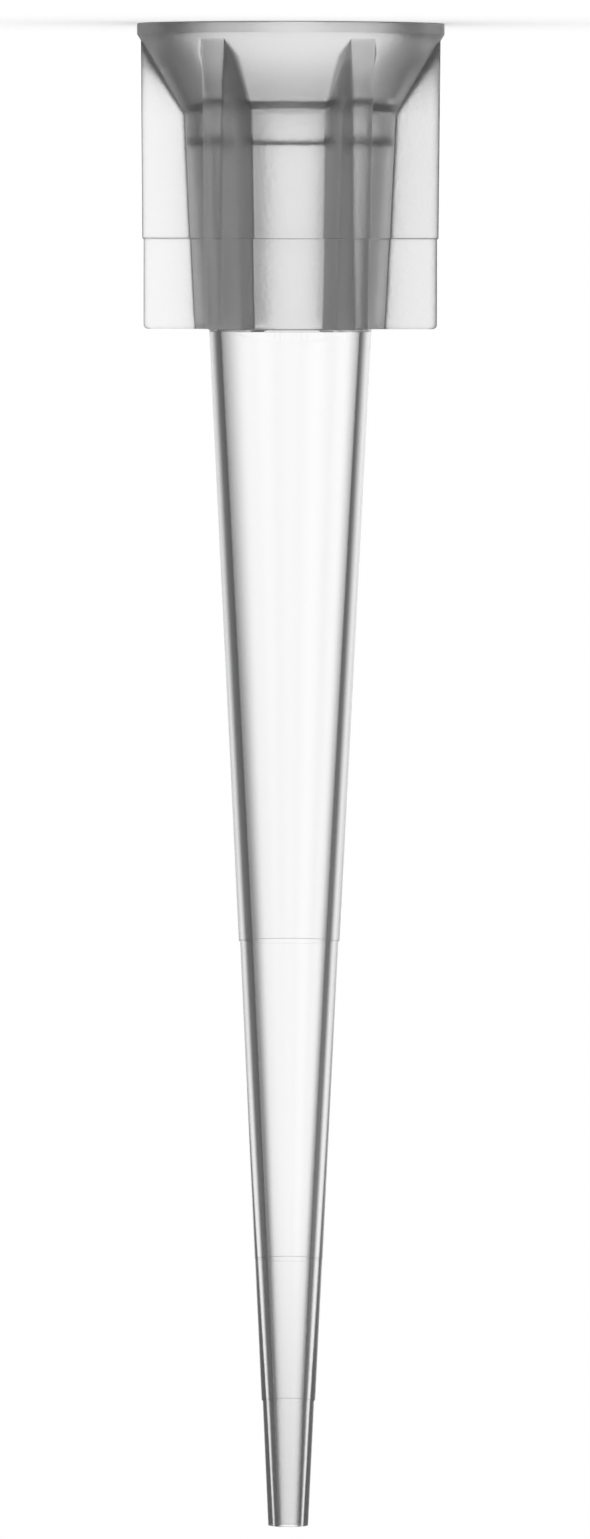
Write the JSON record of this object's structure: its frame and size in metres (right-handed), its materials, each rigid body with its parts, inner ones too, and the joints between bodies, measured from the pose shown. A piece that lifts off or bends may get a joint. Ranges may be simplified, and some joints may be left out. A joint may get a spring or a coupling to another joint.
{
  "type": "pipette tip",
  "caption": "Slender tapered pipette tip with a flared cup, a ribbed collar and a fine open point, moulded in one piece.",
  "frame": {"origin": "centre of the wide rim, on the plane that the tip stands on", "axes": "+Z along the bore axis, from the rim towards the point; +X through the middle of one fin"},
  "size_m": [0.0064, 0.0064, 0.0315],
  "materials": {
    "natural_polypropylene": "clear to slightly milky natural polypropylene, moulded, polished on the tube and finely matt on the head"
  },
  "bodies": {
    "root": {"tip_body": "natural_polypropylene"}
  },
  "joints": []
}
